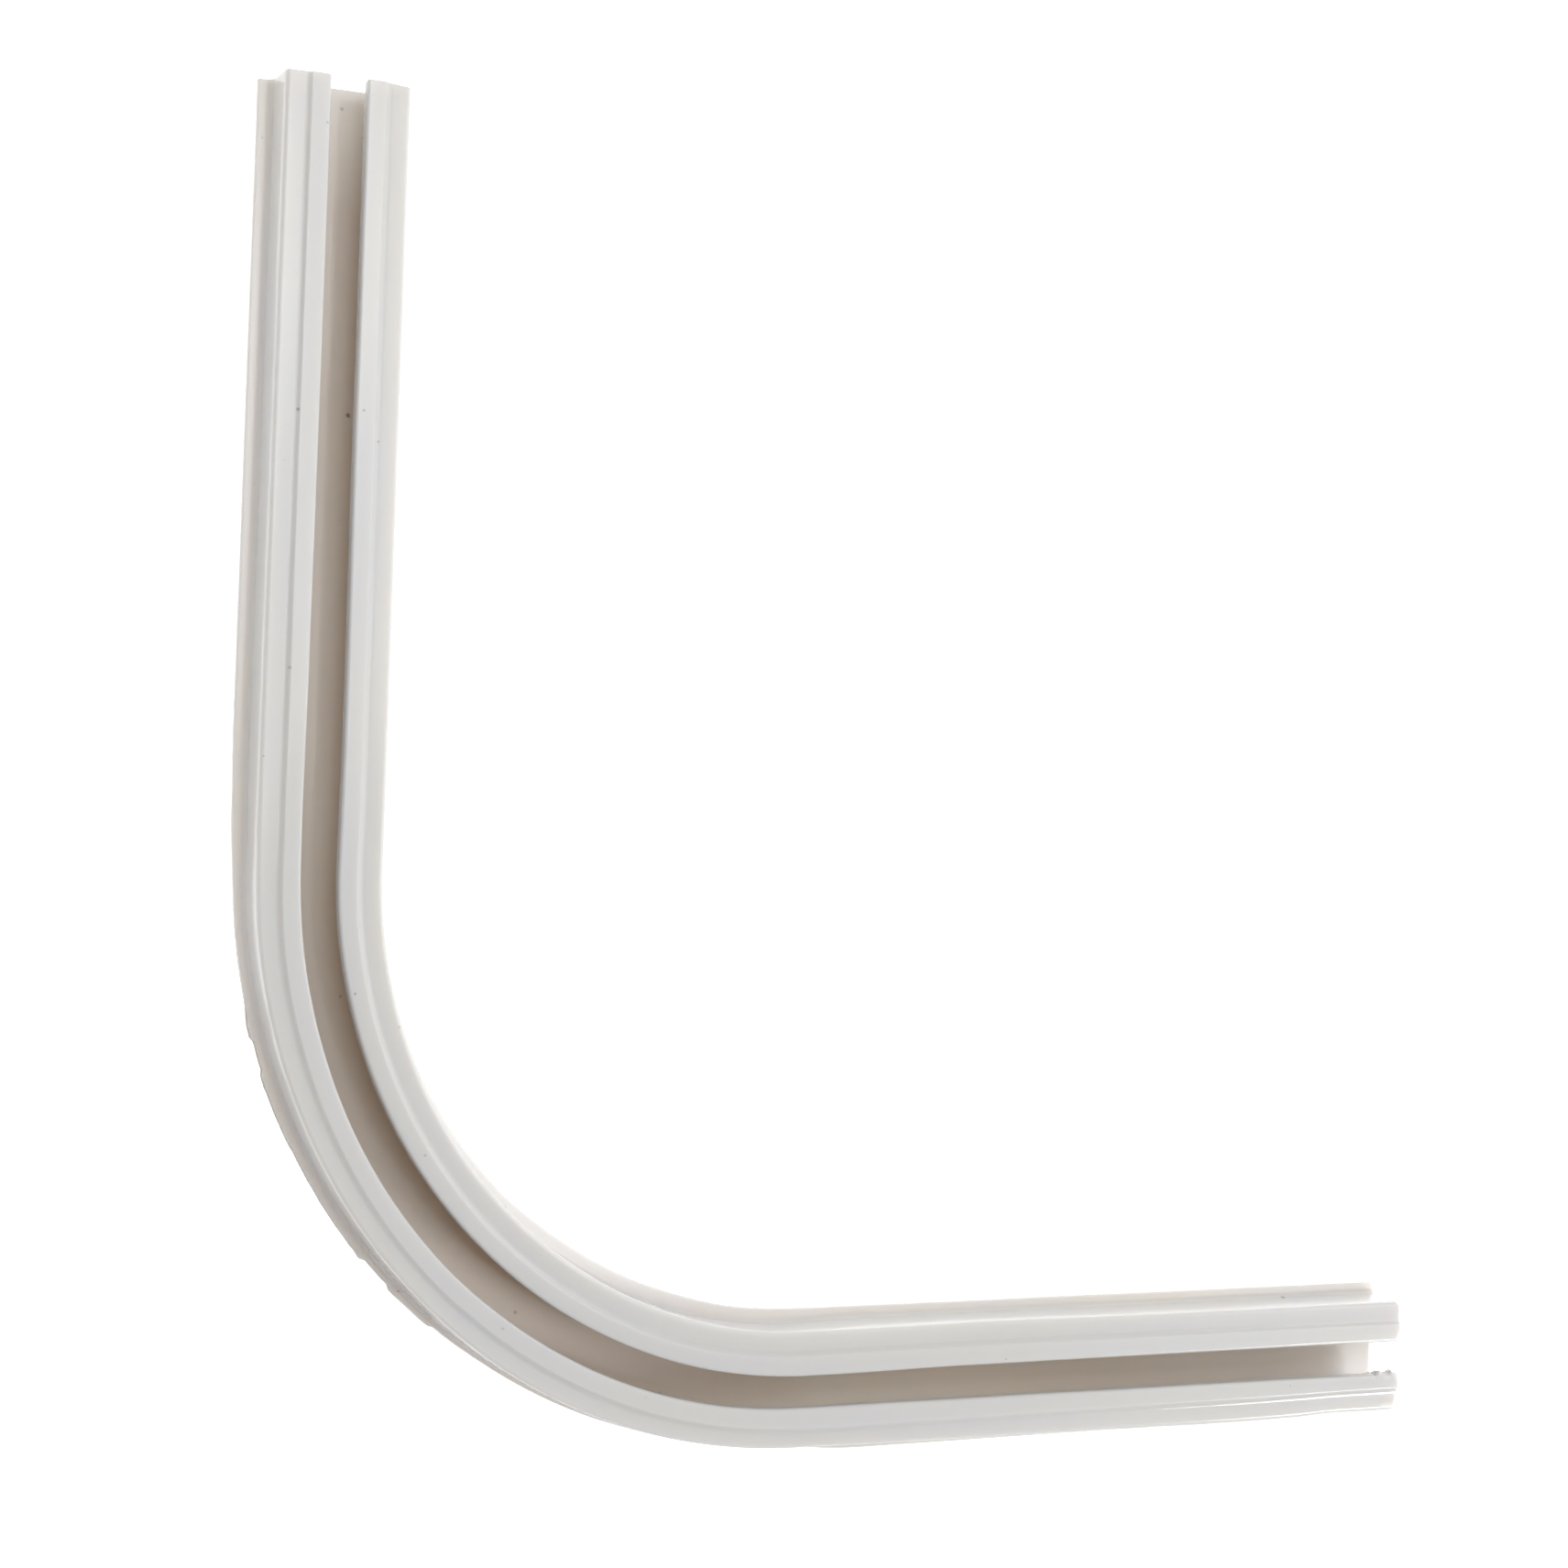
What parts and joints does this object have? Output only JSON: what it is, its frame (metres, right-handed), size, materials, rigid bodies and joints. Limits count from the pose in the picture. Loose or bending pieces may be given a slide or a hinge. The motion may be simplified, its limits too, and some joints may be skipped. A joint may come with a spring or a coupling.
{
  "type": "curtain track corner",
  "caption": "Right-angled corner length of white plastic curtain track: a flanged channel with two lips and an open slot, bent round a smooth curve between two straight legs.",
  "frame": {"origin": "on the flat back, under the middle of the bounding box", "axes": "+Z out of the slot; the first leg's free end points to +Y and the second leg's to +X"},
  "size_m": [0.2234, 0.225, 0.0106],
  "materials": {
    "white_plastic": "satin"
  },
  "bodies": {
    "root": {"curtain_track": "white_plastic"}
  },
  "joints": []
}
